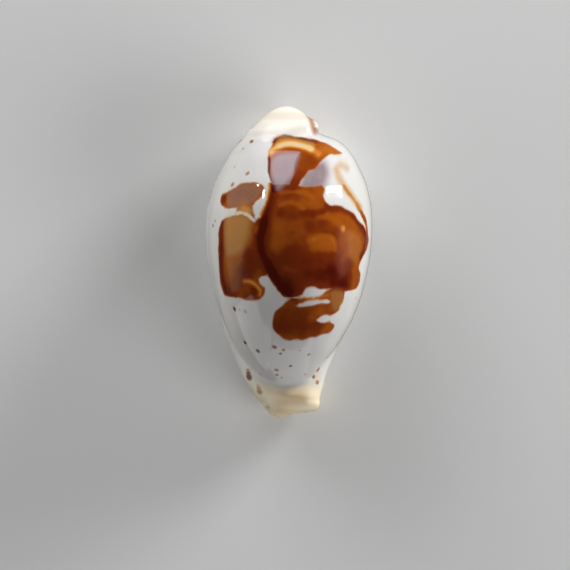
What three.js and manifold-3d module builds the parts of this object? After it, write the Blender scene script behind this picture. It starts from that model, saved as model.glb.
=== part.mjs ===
// Cowrie shell: a domed glossy back on a callused rim, hollow, with a toothed slit along its flat base.
// Millimetres, +Z up. The shell rests on its base with the spire end towards +Y and the outer lip
// towards -X. The origin is on the resting plane, under the middle of the shell.
import * as THREE from "three";
import { mergeVertices } from "three/addons/utils/BufferGeometryUtils.js";
import Module from "manifold-3d";

// Driving dimensions
const HALF_LENGTH = 15; // the rim reaches this far along Y each way
const BACK_END = 12.6; // the domed back stops here, short of the rim's two beaks
const MARGIN_HEIGHT = 3; // height of the back's widest line above the resting plane
const HOLLOW_SHARE = 0.86; // the hollow inside is the back's own form at this scale
const HOLLOW_FLOOR = 2.3; // height of the hollow's floor at its lowest line
const RIM_SQUARENESS = 2.6; // superellipse exponent of the rim's cross-sections

// Rim stations along Y: [y, left edge, right edge, underside, top]
const RIM = [
  [-15.0, -0.75, -0.75, 1.7, 1.7],
  [-14.75, -1.5, 0.1, 1.1, 2.5],
  [-14.45, -2.0, 2.1, 0.75, 3.1],
  [-14.1, -2.35, 2.8, 0.55, 3.55],
  [-13.3, -2.95, 2.9, 0.3, 4.2],
  [-12.0, -3.85, 3.3, 0.05, 4.75],
  [-10.0, -4.9, 3.9, -0.15, 4.6],
  [-8.0, -5.75, 4.8, -0.25, 4.5],
  [-5.0, -6.65, 6.35, -0.3, 4.6],
  [-2.0, -7.3, 7.3, -0.3, 4.7],
  [1.5, -7.9, 7.9, -0.3, 4.8],
  [4.0, -7.9, 7.95, -0.3, 5.0],
  [6.5, -7.3, 7.6, -0.3, 5.2],
  [9.0, -6.35, 6.6, -0.25, 5.6],
  [10.2, -5.8, 5.4, -0.2, 6.4],
  [11.2, -5.2, 3.8, -0.05, 6.7],
  [12.0, -4.6, 3.0, 0.1, 6.35],
  [12.8, -3.95, 2.93, 0.3, 5.9],
  [13.3, -3.45, 2.8, 0.5, 5.45],
  [13.7, -3.02, 2.45, 0.7, 4.9],
  [13.95, -2.75, 1.95, 0.85, 4.55],
  [14.4, -2.1, 1.4, 1.2, 3.9],
  [14.75, -1.4, 0.75, 1.6, 3.4],
  [15.0, -0.25, -0.25, 2.4, 2.4],
];

// Back stations along Y: [y, left edge, right edge, top]
const BACK = [
  [-12.6, 0.1, 0.1, 3.0],
  [-11.5, -2.6, 2.2, 5.3],
  [-10.0, -3.9, 3.2, 7.2],
  [-8.0, -5.25, 4.65, 9.1],
  [-5.0, -6.5, 6.3, 11.2],
  [-2.0, -7.25, 7.3, 12.5],
  [1.5, -7.75, 7.9, 13.0],
  [4.0, -7.75, 8.0, 12.8],
  [6.5, -7.25, 7.7, 12.0],
  [9.0, -6.2, 6.8, 10.3],
  [10.5, -5.15, 5.95, 8.85],
  [11.5, -4.05, 4.95, 7.25],
  [12.1, -2.85, 3.6, 5.95],
  [12.6, 0.4, 0.4, 3.0],
];

// Slit stations along Y: [y, centre line, half width, lip width, lean, roof]
// The lean is how far the slit shifts towards +X for each millimetre that it rises.
const SLIT = [
  [-16.0, 0.95, 0.5, 0.6, 0, 2.9],
  [-14.0, 0.8, 0.55, 0.7, 0, 2.55],
  [-12.0, 0.45, 0.62, 1.2, 0, 2.4],
  [-9.5, -0.15, 0.68, 1.7, 0, 3.0],
  [-5.0, -1.0, 0.62, 1.8, 0, 3.2],
  [0.0, -1.4, 0.52, 1.8, 0, 3.2],
  [5.0, -1.05, 0.46, 1.7, 0, 3.2],
  [9.0, 0.1, 0.4, 1.4, 0, 3.0],
  [11.5, 1.0, 0.36, 0.8, 0.1, 2.8],
  [12.8, 1.2, 0.3, 0.4, 0.1, 2.6],
  [13.6, 1.3, 0.28, 0.35, 0.1, 2.4],
  [16.0, 1.5, 0.28, 0.35, 0.1, 2.3],
];
const LIP_STEEPNESS = 0.5; // height of a lip's round edge, as a share of its width
const LIP_SINK = 0.06; // the lips' round edges start this far under the base
const LIP_STEPS = 4; // facets across each round lip

// Teeth: ridges that run from the base over each lip into the slit
const TEETH = [
  { side: -1, count: 17, first: -12.4, last: 11.2 }, // outer lip
  { side: 1, count: 15, first: -11.8, last: 10.6 }, // inner lip
];
const TOOTH_RADIUS = 0.32;
const TOOTH_SINK = 0.14; // depth of a tooth's centre line in the lip
const TOOTH_END_SINK = 0.4; // and at its outer end, which is buried in the base
const TOOTH_END = 1.1; // place of that end, as a share of the lip's width
const TOOTH_SIDES = 6;
const TOOTH_STEPS = 5;
const TOOTH_INNER_HEIGHT = 1.9; // how far up into the slit a tooth runs

// Facets
const RIM_STATIONS = 36;
const RIM_SIDES = 32;
const BACK_STATIONS = 28;
const BACK_SIDES = 36;
const HOLLOW_STATIONS = 18;
const HOLLOW_SIDES = 24;
const SLIT_STATIONS = 34;

const SHELL_WHITE = new THREE.MeshStandardMaterial({
  color: 0xe4dfdc,
  roughness: 0.15,
  metalness: 0,
});

const wasm = await Module();
wasm.setup();

// Smooth curve through rows of [y, value, value, ...]: gives the values at any y.
function stations(rows) {
  const places = rows.map((row) => row[0]);
  const values = rows.flatMap((row) => row.slice(1));
  const curve = new THREE.CubicInterpolant(places, values, rows[0].length - 1);
  return (y) => curve.evaluate(y);
}

// Rows of [y, left, right, low, high] as the middle, half width, centre height and half height
// of an oval. Halves run through the curve as squares, so that the ends come out round.
function ovals(rows) {
  const at = stations(
    rows.map(([y, left, right, low, high]) => [
      y,
      (left + right) / 2,
      ((right - left) / 2) ** 2,
      (low + high) / 2,
      ((high - low) / 2) ** 2,
    ]),
  );
  return (y) => {
    const [middle, wide, centre, tall] = at(y);
    return {
      middle,
      halfWidth: Math.sqrt(Math.max(wide, 0)),
      centre,
      halfHeight: Math.sqrt(Math.max(tall, 0)),
    };
  };
}

// Places from -reach to reach, closer together towards both ends, without the ends themselves.
function crowdedPlaces(reach, count) {
  return Array.from(
    { length: count },
    (_, i) => -reach * Math.cos((Math.PI * (i + 1)) / (count + 1)),
  );
}

// One ring of points: section(cosine, sine) gives x and z for each step round the Y axis.
function ring(y, sides, section) {
  return Array.from({ length: sides }, (_, i) => {
    const angle = (2 * Math.PI * i) / sides;
    const [x, z] = section(Math.cos(angle), Math.sin(angle));
    return new THREE.Vector3(x, y, z);
  });
}

// Closed skin over rings of equal size, with a tip in front of the first ring and behind the last.
function loft(rings, firstTip, lastTip) {
  const size = rings[0].length;
  const points = [...rings.flat(), firstTip, lastTip];
  const tipBefore = rings.length * size;
  const lastRing = tipBefore - size;
  const faces = [];
  for (let i = 0; i < size; i++) {
    const next = (i + 1) % size;
    faces.push(tipBefore, i, next);
    faces.push(tipBefore + 1, lastRing + next, lastRing + i);
    for (let row = 0; row < lastRing; row += size) {
      faces.push(row + i, row + size + i, row + size + next);
      faces.push(row + i, row + size + next, row + next);
    }
  }
  return new THREE.BufferGeometry().setFromPoints(points).setIndex(faces);
}

// A closed geometry as a solid that can be joined and cut.
function solid(geometry) {
  const bare = geometry.clone();
  bare.deleteAttribute("normal");
  bare.deleteAttribute("uv");
  const merged = mergeVertices(bare);
  return new wasm.Manifold(
    new wasm.Mesh({
      numProp: 3,
      vertProperties: merged.attributes.position.array,
      triVerts: new Uint32Array(merged.index.array),
    }),
  );
}

function geometryOf(made) {
  const { vertProperties, triVerts } = made.getMesh();
  const geometry = new THREE.BufferGeometry();
  geometry.setAttribute("position", new THREE.BufferAttribute(vertProperties, 3));
  geometry.setIndex(new THREE.BufferAttribute(triVerts, 1));
  geometry.computeVertexNormals();
  return geometry;
}

const rimAt = ovals(RIM);
const backAt = ovals(
  BACK.map(([y, left, right, top]) => [y, left, right, 2 * MARGIN_HEIGHT - top, top]),
);
const slitAt = stations(SLIT);

// The callused rim: a thick rounded plate, drawn out into a beak at each end.
function rim() {
  const rings = crowdedPlaces(HALF_LENGTH, RIM_STATIONS).map((y) => {
    const { middle, halfWidth, centre, halfHeight } = rimAt(y);
    const square = (part) => Math.sign(part) * Math.abs(part) ** (2 / RIM_SQUARENESS);
    return ring(y, RIM_SIDES, (cosine, sine) => [
      middle + halfWidth * square(cosine),
      centre + halfHeight * square(sine),
    ]);
  });
  const tip = (y) => new THREE.Vector3(rimAt(y).middle, y, rimAt(y).centre);
  return solid(loft(rings, tip(-HALF_LENGTH), tip(HALF_LENGTH)));
}

// An egg-shaped dome over the margin line, with a shallow bowl of the given depth under it.
function dome(share, bowlDepth, count, sides) {
  const rings = crowdedPlaces(BACK_END, count).map((y) => {
    const { middle, halfWidth, halfHeight } = backAt(y);
    const bowl = bowlDepth * Math.sqrt(1 - (y / BACK_END) ** 2);
    return ring(y * share, sides, (cosine, sine) => [
      middle + share * halfWidth * cosine,
      MARGIN_HEIGHT + sine * (sine > 0 ? share * halfHeight : bowl),
    ]);
  });
  const tip = (y) => new THREE.Vector3(backAt(y).middle, y * share, MARGIN_HEIGHT);
  return solid(loft(rings, tip(-BACK_END), tip(BACK_END)));
}

// Height of the rim's underside, or of the resting plane where the rim is cut flat.
function baseHeight(x, y) {
  const { middle, halfWidth, centre, halfHeight } = rimAt(
    THREE.MathUtils.clamp(y, -HALF_LENGTH, HALF_LENGTH),
  );
  const out = Math.min(Math.abs(x - middle) / halfWidth, 1) || 0;
  const drop = (1 - out ** RIM_SQUARENESS) ** (1 / RIM_SQUARENESS);
  return Math.max(0, centre - halfHeight * drop);
}

// The slit's outline across the shell at one place: two round lips under a flat roof.
function slitRing(y) {
  const [centre, halfWidth, lip, lean, roof] = slitAt(y);
  const base = baseHeight(centre, y) - LIP_SINK;
  const rise = lip * LIP_STEEPNESS;
  const right = [[halfWidth + lip, base - rise]];
  for (let step = 0; step <= LIP_STEPS; step++) {
    const turn = (Math.PI / 2) * (step / LIP_STEPS);
    right.push([
      halfWidth + lip * (1 - Math.sin(turn)),
      base + rise * (1 - Math.cos(turn)),
    ]);
  }
  right.push([halfWidth, Math.max(roof, base + rise + LIP_SINK)]);
  const left = right.map(([across, z]) => [-across, z]).reverse();
  return [...right, ...left].map(
    ([across, z]) => new THREE.Vector3(centre + across + lean * (z - base), y, z),
  );
}

function slit() {
  const first = SLIT[0][0];
  const last = SLIT.at(-1)[0];
  const rings = Array.from({ length: SLIT_STATIONS }, (_, i) =>
    slitRing(THREE.MathUtils.lerp(first, last, i / (SLIT_STATIONS - 1))),
  );
  const middleOf = (points) =>
    points.reduce((sum, p) => sum.add(p), new THREE.Vector3()).divideScalar(points.length);
  return solid(loft(rings, middleOf(rings[0]), middleOf(rings.at(-1))));
}

// One tooth: a round ridge along the lip's curve at one place, its outer end buried in the base.
function tooth(side, y) {
  const [centre, halfWidth, lip] = slitAt(y);
  const rise = lip * LIP_STEEPNESS;
  const along = [[halfWidth + TOOTH_END * lip, TOOTH_END_SINK]];
  for (const turn of [Math.PI / 6, Math.PI / 3, Math.PI / 2]) {
    const sine = Math.sin(turn);
    const cosine = Math.cos(turn);
    along.push([
      halfWidth + lip * (1 - sine) + TOOTH_SINK * sine,
      rise * (1 - cosine) + TOOTH_SINK * cosine,
    ]);
  }
  along.push([halfWidth + TOOTH_SINK, TOOTH_INNER_HEIGHT]);
  const path = new THREE.CatmullRomCurve3(
    along.map(([across, height]) => {
      const x = centre + side * across;
      return new THREE.Vector3(x, y, baseHeight(x, y) + height);
    }),
  );
  const round = new THREE.Shape();
  round.absarc(0, 0, TOOTH_RADIUS, 0, 2 * Math.PI);
  return solid(
    new THREE.ExtrudeGeometry(round, {
      steps: TOOTH_STEPS,
      curveSegments: TOOTH_SIDES,
      extrudePath: path,
    }),
  );
}

function teeth() {
  return TEETH.flatMap(({ side, count, first, last }) =>
    Array.from({ length: count }, (_, i) =>
      tooth(side, THREE.MathUtils.lerp(first, last, i / (count - 1))),
    ),
  );
}

// Everything under the resting plane, which leaves the base flat.
function underBase() {
  const side = 4 * HALF_LENGTH;
  return solid(new THREE.BoxGeometry(side, side, side).translate(0, 0, -side / 2));
}

function shell() {
  const outside = rim().add(dome(1, MARGIN_HEIGHT, BACK_STATIONS, BACK_SIDES));
  const floorDepth = MARGIN_HEIGHT - HOLLOW_FLOOR;
  const hollow = dome(HOLLOW_SHARE, floorDepth, HOLLOW_STATIONS, HOLLOW_SIDES);
  const open = outside.subtract(hollow).subtract(slit());
  const toothed = teeth().reduce((body, ridge) => body.add(ridge), open);
  const mesh = new THREE.Mesh(geometryOf(toothed.subtract(underBase())), SHELL_WHITE);
  mesh.name = "shell";
  return mesh;
}

const cowrie = new THREE.Group();
cowrie.add(shell());

export default cowrie;
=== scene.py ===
"""Cowrie shell: the finished skin, markings and gloss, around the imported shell.

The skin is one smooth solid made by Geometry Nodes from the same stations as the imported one: an egg-shaped
back on a callused rim, with a hollow, and a slit whose lips carry ridged teeth. Its markings are outlines on
the back. Places are in millimetres: X to the inner lip, Y to the spire end, Z up from the resting plane.
"""

import math

import bpy
import numpy as np
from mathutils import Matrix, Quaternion, Vector


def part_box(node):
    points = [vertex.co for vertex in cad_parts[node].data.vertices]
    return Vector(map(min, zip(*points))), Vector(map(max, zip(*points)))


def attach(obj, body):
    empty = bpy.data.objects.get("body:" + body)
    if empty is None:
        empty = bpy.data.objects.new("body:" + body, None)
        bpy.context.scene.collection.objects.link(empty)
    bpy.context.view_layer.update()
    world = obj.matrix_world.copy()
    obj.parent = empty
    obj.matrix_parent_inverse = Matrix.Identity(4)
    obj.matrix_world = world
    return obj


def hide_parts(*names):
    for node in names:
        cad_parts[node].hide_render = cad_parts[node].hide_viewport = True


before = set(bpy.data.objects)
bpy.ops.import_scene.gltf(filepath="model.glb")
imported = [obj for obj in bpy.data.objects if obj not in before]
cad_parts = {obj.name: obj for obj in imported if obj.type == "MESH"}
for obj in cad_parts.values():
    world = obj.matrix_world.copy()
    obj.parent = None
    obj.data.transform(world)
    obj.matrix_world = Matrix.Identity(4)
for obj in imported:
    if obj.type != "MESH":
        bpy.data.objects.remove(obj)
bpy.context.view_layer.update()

# Driving sizes: half length, end of the back, height of the margin line, hollow, squareness of the rim
HALF_LENGTH = 15.0
BACK_END = 12.6
MARGIN_HEIGHT = 3.0
HOLLOW_SHARE = 0.86
HOLLOW_DEPTH = 0.7
RIM_SQUARENESS = 2.6

# Reach of the soft blends: of the back into the rim, what three sides add to it, the lips, base and roof
CREASE_BLEND = 0.35
SIDE_BLEND = 1.6
SPIRE_BLEND = 0.7
BEAK_BLEND = 0.8
LIP_BLEND = 0.12
BASE_BLEND = 0.05
ROOF_BLEND = 0.3

# Where those three sides start and where they are full
LEFT_SIDE_ACROSS = (0.0, -3.5)
LEFT_SIDE_ALONG = (-6.0, -2.0)
SPIRE_SIDE_ACROSS = (0.5, 2.0)
SPIRE_SIDE_ALONG = (10.0, 12.0)
BEAK_SIDE_ALONG = (-10.5, -12.5)

# The rim on the left side: how far it is tucked in, at what height, and how much of its callus is lost
SIDE_TUCK = 0.25
SIDE_TUCK_RISE = (1.0, 2.5)
SIDE_CALLUS_LOSS = 0.85

# Meshing: the volume, its voxels, the skin's depth and level in it, and steps that settle points on the skin
VOLUME_LOW = Vector((-9.0, -16.0, -1.0))
VOLUME_HIGH = Vector((9.0, 16.0, 14.0))
VOXEL = 0.17
SKIN_DEPTH = 0.6
SKIN_LEVEL = 0.5
SETTLE_STEPS = 3
PROBE_STEP = 0.05

# Least values of what is divided by
TINY = 1e-4
LEAST_SIZE = 0.05
LEAST_STEEPNESS = 0.05
DOME_LEAST_SLOPE = 0.2
RIM_LEAST_SLOPE = 0.08
LIP_LEAST_SLOPE = 0.2

# The frame's metres in one millimetre
LOW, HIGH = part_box("shell")
UNIT = (HIGH.y - LOW.y) / (2 * HALF_LENGTH)

# Rim stations: [y, left edge, right edge, underside, top]
RIM = [
    [-15.0, -0.75, -0.75, 1.7, 1.7],
    [-14.75, -1.5, 0.1, 1.1, 2.5],
    [-14.45, -2.0, 2.1, 0.75, 3.1],
    [-14.1, -2.35, 2.8, 0.55, 3.55],
    [-13.3, -2.95, 2.9, 0.3, 4.2],
    [-12.0, -3.85, 3.3, 0.05, 4.75],
    [-10.0, -4.9, 3.9, -0.15, 4.6],
    [-8.0, -5.75, 4.8, -0.25, 4.5],
    [-5.0, -6.65, 6.35, -0.3, 4.6],
    [-2.0, -7.3, 7.3, -0.3, 4.7],
    [1.5, -7.9, 7.9, -0.3, 4.8],
    [4.0, -7.9, 7.95, -0.3, 5.0],
    [6.5, -7.3, 7.6, -0.3, 5.2],
    [9.0, -6.35, 6.6, -0.25, 5.6],
    [10.2, -5.8, 5.4, -0.2, 6.4],
    [11.2, -5.2, 3.8, -0.05, 6.7],
    [12.0, -4.6, 3.0, 0.1, 6.35],
    [12.8, -3.95, 2.93, 0.3, 5.9],
    [13.3, -3.45, 2.8, 0.5, 5.45],
    [13.7, -3.02, 2.45, 0.7, 4.9],
    [13.95, -2.75, 1.95, 0.85, 4.55],
    [14.4, -2.1, 1.4, 1.2, 3.9],
    [14.75, -1.4, 0.75, 1.6, 3.4],
    [15.0, -0.25, -0.25, 2.4, 2.4],
]

# Back stations: [y, left edge, right edge, top]
BACK = [
    [-12.6, 0.1, 0.1, 3.0],
    [-11.5, -2.6, 2.2, 5.3],
    [-10.0, -3.9, 3.2, 7.2],
    [-8.0, -5.25, 4.65, 9.1],
    [-5.0, -6.5, 6.3, 11.2],
    [-2.0, -7.25, 7.3, 12.5],
    [1.5, -7.75, 7.9, 13.0],
    [4.0, -7.75, 8.0, 12.8],
    [6.5, -7.25, 7.7, 12.0],
    [9.0, -6.2, 6.8, 10.3],
    [10.5, -5.15, 5.95, 8.85],
    [11.5, -4.05, 4.95, 7.25],
    [12.1, -2.85, 3.6, 5.95],
    [12.6, 0.4, 0.4, 3.0],
]

# Slit stations: [y, centre line, half width, lip width, lean, roof]
SLIT = [
    [-16.0, 0.95, 0.5, 0.6, 0.0, 2.9],
    [-14.0, 0.8, 0.55, 0.7, 0.0, 2.55],
    [-12.0, 0.45, 0.62, 1.2, 0.0, 2.4],
    [-9.5, -0.15, 0.68, 1.7, 0.0, 3.0],
    [-5.0, -1.0, 0.62, 1.8, 0.0, 3.2],
    [0.0, -1.4, 0.52, 1.8, 0.0, 3.2],
    [5.0, -1.05, 0.46, 1.7, 0.0, 3.2],
    [9.0, 0.1, 0.4, 1.4, 0.0, 3.0],
    [11.5, 1.0, 0.36, 0.8, 0.1, 2.8],
    [12.8, 1.2, 0.3, 0.4, 0.1, 2.6],
    [13.6, 1.3, 0.28, 0.35, 0.1, 2.4],
    [16.0, 1.5, 0.28, 0.35, 0.1, 2.3],
]

# A lip's round edge: its height as a share of its width, and how far it is sunk into the base
LIP_STEEPNESS = 0.5
LIP_SINK = 0.06

# The low hump on the front beak: ends of its crest seen from above, reach and height
BEAK_HUMP = ((0.1, -13.4), (1.6, -13.5))
HUMP_REACH = 1.8
HUMP_HEIGHT = 0.42

# The crease between the two lobes of the spire end: its ends, reach and depth
LOBE_CREASE = ((2.0, 14.0), (2.5, 12.4))
LOBE_CREASE_REACH = 0.5
LOBE_CREASE_DEPTH = 0.24

# Heights between which the hump and the crease come in
RELIEF_RISE = (2.0, 3.0)

# Teeth of each lip: count, and the places of the first and the last
OUTER_TEETH = (17, -12.4, 11.2)
INNER_TEETH = (15, -11.8, 10.6)

# A tooth's crest: the share of the lip's round edge that it fills, and how far it stands into the slit
TOOTH_HEIGHT = 0.6
TOOTH_OVERHANG = 0.25

# The sizes that the shell's node trees take, by the names of their inputs
SKIN_SIZES = {
    "Crease": CREASE_BLEND,
    "Side blend": SIDE_BLEND,
    "Spire blend": SPIRE_BLEND,
    "Beak blend": BEAK_BLEND,
    "Lip": LIP_BLEND,
    "Tooth height": TOOTH_HEIGHT,
}

# The photograph's frame in pixels: the shell's middle, the picture's side and the shell's length
PHOTO_MIDDLE = (289.0, 262.0)
PHOTO_SIZE = 570
PHOTO_LENGTH = 312
PIXEL = 2 * HALF_LENGTH / PHOTO_LENGTH

# Camera: lens and sensor in millimetres, near end of its view in metres, and where it stands
LENS = 300
SENSOR = 36
NEAR_CLIP = 0.01
EYE = Vector((
    (PHOTO_SIZE / 2 - PHOTO_MIDDLE[0]) * PIXEL,
    (PHOTO_MIDDLE[1] - PHOTO_SIZE / 2) * PIXEL,
    MARGIN_HEIGHT + PHOTO_SIZE * PIXEL * LENS / SENSOR,
)) * UNIT

# Brown blotches on the back: outlines in the photograph's pixels
HOOD = [
    (269.5, 150), (273, 141), (277.5, 136), (285, 134.3), (298, 137), (312, 139), (325, 142.5),
    (335, 147.5), (342, 153.5), (333, 155), (325, 158), (319.5, 163), (316, 168), (309, 171.5),
    (304.5, 177), (299, 185), (296, 196), (284, 202), (274, 200), (272.5, 186), (269, 177), (267.3, 166),
    (268, 156),
]
MAIN = [
    (272.5, 187), (284, 186), (294.6, 185), (306, 186), (314, 186.2), (321.7, 184.8), (325, 190),
    (324.5, 198), (328, 203), (337.7, 204.7), (345.7, 208), (353.6, 213.5), (358.4, 220), (363, 224.6),
    (367, 232), (368.8, 239), (366.4, 250), (361.6, 259.7), (359, 267.7), (360.8, 273), (360, 280),
    (356.8, 287.6), (350, 291.6), (341.7, 291), (329.7, 290.5), (321.7, 290.4), (315.4, 288), (309, 287.6),
    (305, 290), (302, 295), (296, 299), (287.5, 298), (283.5, 296.4), (277, 289), (270.7, 281), (265, 273),
    (258, 262), (255, 247), (256, 233), (260, 219), (264.5, 206), (268.5, 196),
]
LEFT_BLOCK = [
    (222, 220), (227, 217.5), (234, 215), (240, 213.8), (246, 215.3), (250.5, 218.7), (255, 219.8),
    (261, 217.5), (266, 226), (274, 250), (268, 273), (262, 277), (259.5, 281), (262, 284), (265.4, 287.6),
    (265, 293), (262.5, 297.5), (257.4, 300), (248.2, 300), (237.9, 298.3), (226.4, 296.2), (223, 292.5),
    (220, 282), (218.8, 263.5), (218, 245), (219, 228),
]
SMALL_BLOTCH = [
    (220.3, 200), (221.5, 195), (225, 192.3), (230, 190.5), (235, 187), (240, 184.3), (246.3, 182.7),
    (255, 182.5), (262, 185.5), (265.5, 191), (264.4, 195.7), (257, 201.7), (251.5, 206.5), (245, 208.3),
    (238, 208.3), (227.5, 209), (222, 206),
]
BRIDGE = [
    (237, 205.5), (251, 204.5), (253.5, 212), (255.5, 220), (251.5, 217.5), (248, 214.2), (243, 212.2),
    (239.5, 211.8), (235.2, 214.5), (236, 210),
]
LOWER = [
    (272.5, 324), (273, 316), (277, 309), (284, 303), (291, 297), (301, 297), (310, 296.8), (320, 294.5),
    (330, 288), (344, 287), (343.5, 300), (341, 306), (338, 311.5), (331, 315.5), (329, 318.5), (332, 322),
    (334, 326), (331.5, 331), (322, 335.5), (311.5, 338.8), (298.5, 340.8), (286, 339.8), (277.5, 335),
    (273.5, 330),
]
BLOTCHES = [HOOD, MAIN, LEFT_BLOCK, SMALL_BLOTCH, BRIDGE, LOWER]

# Pale gaps inside the blotches
GAPS = [
    [(296.4, 305.4), (310, 300.8), (327.4, 299.6), (328.6, 303), (315, 304.8), (301, 306.5)],
    [(332, 316.5), (325, 315.5), (319, 318), (317, 320.5), (322, 322.5), (329, 320.5)],
]

# Pale lines between blotches: points, and half the line's width at its start and end
PALE_LINES = [
    ([(237, 213.6), (240, 212.8), (243, 213.1), (248, 215.2), (254, 219.8)], 0.9, 0.8),
]

# Brown lines: points, and half the line's width at its start and end
LINES = [
    ([(344, 186), (348.5, 192), (353.5, 200), (358.5, 207.5), (362.5, 214.5), (365.5, 222), (367, 232)],
     2.0, 3.4),
    ([(270, 185), (268, 195), (265, 206), (261.5, 215)], 2.2, 2.2),
]

# Soft tan lines on the white: points, half the line's width, softness of its edge, strength
TAN_LINES = [
    ([(336, 168.5), (341, 165), (347, 168)], 4.0, 4.0, 0.7),
    ([(336.5, 169), (339, 177), (344, 186)], 4.4, 4.0, 0.85),
    ([(344, 186), (349, 192), (355, 200.5), (361, 209)], 4.4, 3.0, 0.75),
    ([(338, 158), (346, 161)], 2.0, 4.0, 0.2),
    ([(276, 114), (276, 118)], 1.5, 2.0, 0.25),
    ([(315, 378), (318, 370)], 2.0, 4.0, 0.3),
]

# Shades inside the blotches: points of a soft stroke, its half width, and how much darker it makes the brown
SHADES = [
    # The large blotch: its dark left border, its right border and its dark lower half
    ([(274, 191), (269.5, 204), (264.5, 219), (260, 236), (261.5, 251), (266, 261), (272, 273), (279, 286),
      (289, 294)], 8.0, 0.24),
    ([(264, 224), (262, 236), (263, 251), (268, 263), (275, 275), (283, 286), (295, 293)], 15.0, 0.26),
    ([(328, 206), (345, 210), (355, 218), (362, 227), (366, 237), (365, 246), (360.5, 258)], 7.0, 0.2),
    ([(285, 262), (305, 262), (325, 266)], 26.0, 0.2),
    ([(290, 282), (310, 279), (330, 281), (346, 284)], 15.0, 0.16),
    ([(303, 213), (314, 213.5), (323, 212)], 6.0, 0.16),
    ([(282, 212), (296, 215)], 9.0, 0.06),
    ([(310, 227)], 9.0, 0.1),
    # Its golden places
    ([(274, 194), (283, 192), (295, 191.5), (306, 193), (313, 197.5)], 4.0, -0.13),
    ([(280, 205.5), (288, 202.5), (297, 204), (303, 209)], 4.0, -0.1),
    ([(306, 202), (316, 206)], 11.0, -0.08),
    ([(276, 224), (281, 238), (277, 250)], 14.0, -0.08),
    ([(318, 216), (330, 217), (338, 222), (342, 227)], 6.0, -0.12),
    ([(343.3, 229)], 6.0, -0.36),
    ([(316, 245), (322, 243.5), (329, 244)], 13.0, -0.2),
    ([(309, 241), (318, 236.5), (328, 236.5), (334, 240), (335, 249)], 4.5, -0.13),
    ([(345, 240), (346, 252), (344, 262)], 16.0, -0.08),
    ([(300, 210), (325, 235), (330, 265)], 55.0, 0.08),
    ([(335, 272), (345, 281), (348, 268)], 16.0, 0.16),
    ([(332, 285), (348, 286)], 7.0, 0.1),
    ([(350, 232.5), (357, 235), (360, 243), (360, 252), (357, 262), (353, 271)], 6.5, -0.04),
    ([(277, 266), (288, 270), (298, 272)], 9.0, -0.1),
    # The hood
    ([(268.5, 160), (268.5, 170), (271, 180), (273.5, 190)], 4.0, 0.35),
    ([(304, 141.5), (314, 143.5)], 8.0, 0.05),
    ([(272, 145), (275, 139.5), (278.5, 136), (286, 135.2), (298, 137.8), (311, 140.8), (316, 142.5)],
     2.2, 0.36),
    ([(270, 152.3), (275.8, 147.7), (285, 144.2), (295.3, 144.2), (305.6, 146.5), (311, 149)], 6.5, -0.49),
    ([(309, 148), (314, 151), (318.5, 155)], 6.0, -0.22),
    ([(280, 146), (288, 144), (296, 144.3), (303, 146)], 6.0, -0.2),
    ([(322, 150), (332, 151), (340, 154)], 11.0, -0.16),
    ([(280, 145), (300, 150), (308, 160), (300, 173), (290, 187)], 22.0, 0.08),
    # The left block and the small blotch
    ([(234, 198), (250, 194)], 16.0, 0.1),
    ([(221.5, 222), (221, 250), (222, 275), (226, 292)], 7.5, 0.32),
    ([(250, 252), (252, 266), (247, 272)], 14.0, 0.14),
    ([(246, 296), (258, 295)], 10.0, 0.08),
    ([(234, 290), (240, 276), (245, 260)], 18.0, 0.17),
    ([(254, 290)], 7.0, 0.16),
    ([(243.7, 281), (250.6, 281.8), (256.7, 286), (260.2, 290.4), (259.7, 294.7)], 4.0, -0.36),
    ([(256.5, 231), (257.5, 228)], 5.0, -0.2),
    ([(223.5, 200)], 8.0, 0.24),
    ([(262, 197), (255, 203)], 6.0, -0.1),
    ([(244, 209), (247, 211)], 10.0, -0.25),
    # The lower blotch and its link
    ([(282, 322), (300, 322), (318, 326)], 26.0, 0.16),
    ([(280, 330), (300, 333)], 12.0, 0.06),
    ([(300, 298.3), (313, 297.5), (328, 295)], 4.5, -0.22),
    ([(337, 294), (337, 308)], 12.0, 0.03),
    ([(320, 312), (312, 318)], 9.0, -0.1),
    ([(330, 326), (324, 331)], 8.0, -0.12),
    # The thin lines on the right and by the left block
    ([(344, 186), (348.5, 192), (353.5, 200), (358.5, 207.5)], 7.0, -0.1),
    ([(268.5, 185), (266.5, 195), (263.5, 206), (260, 215)], 4.5, -0.5),
]

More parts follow.
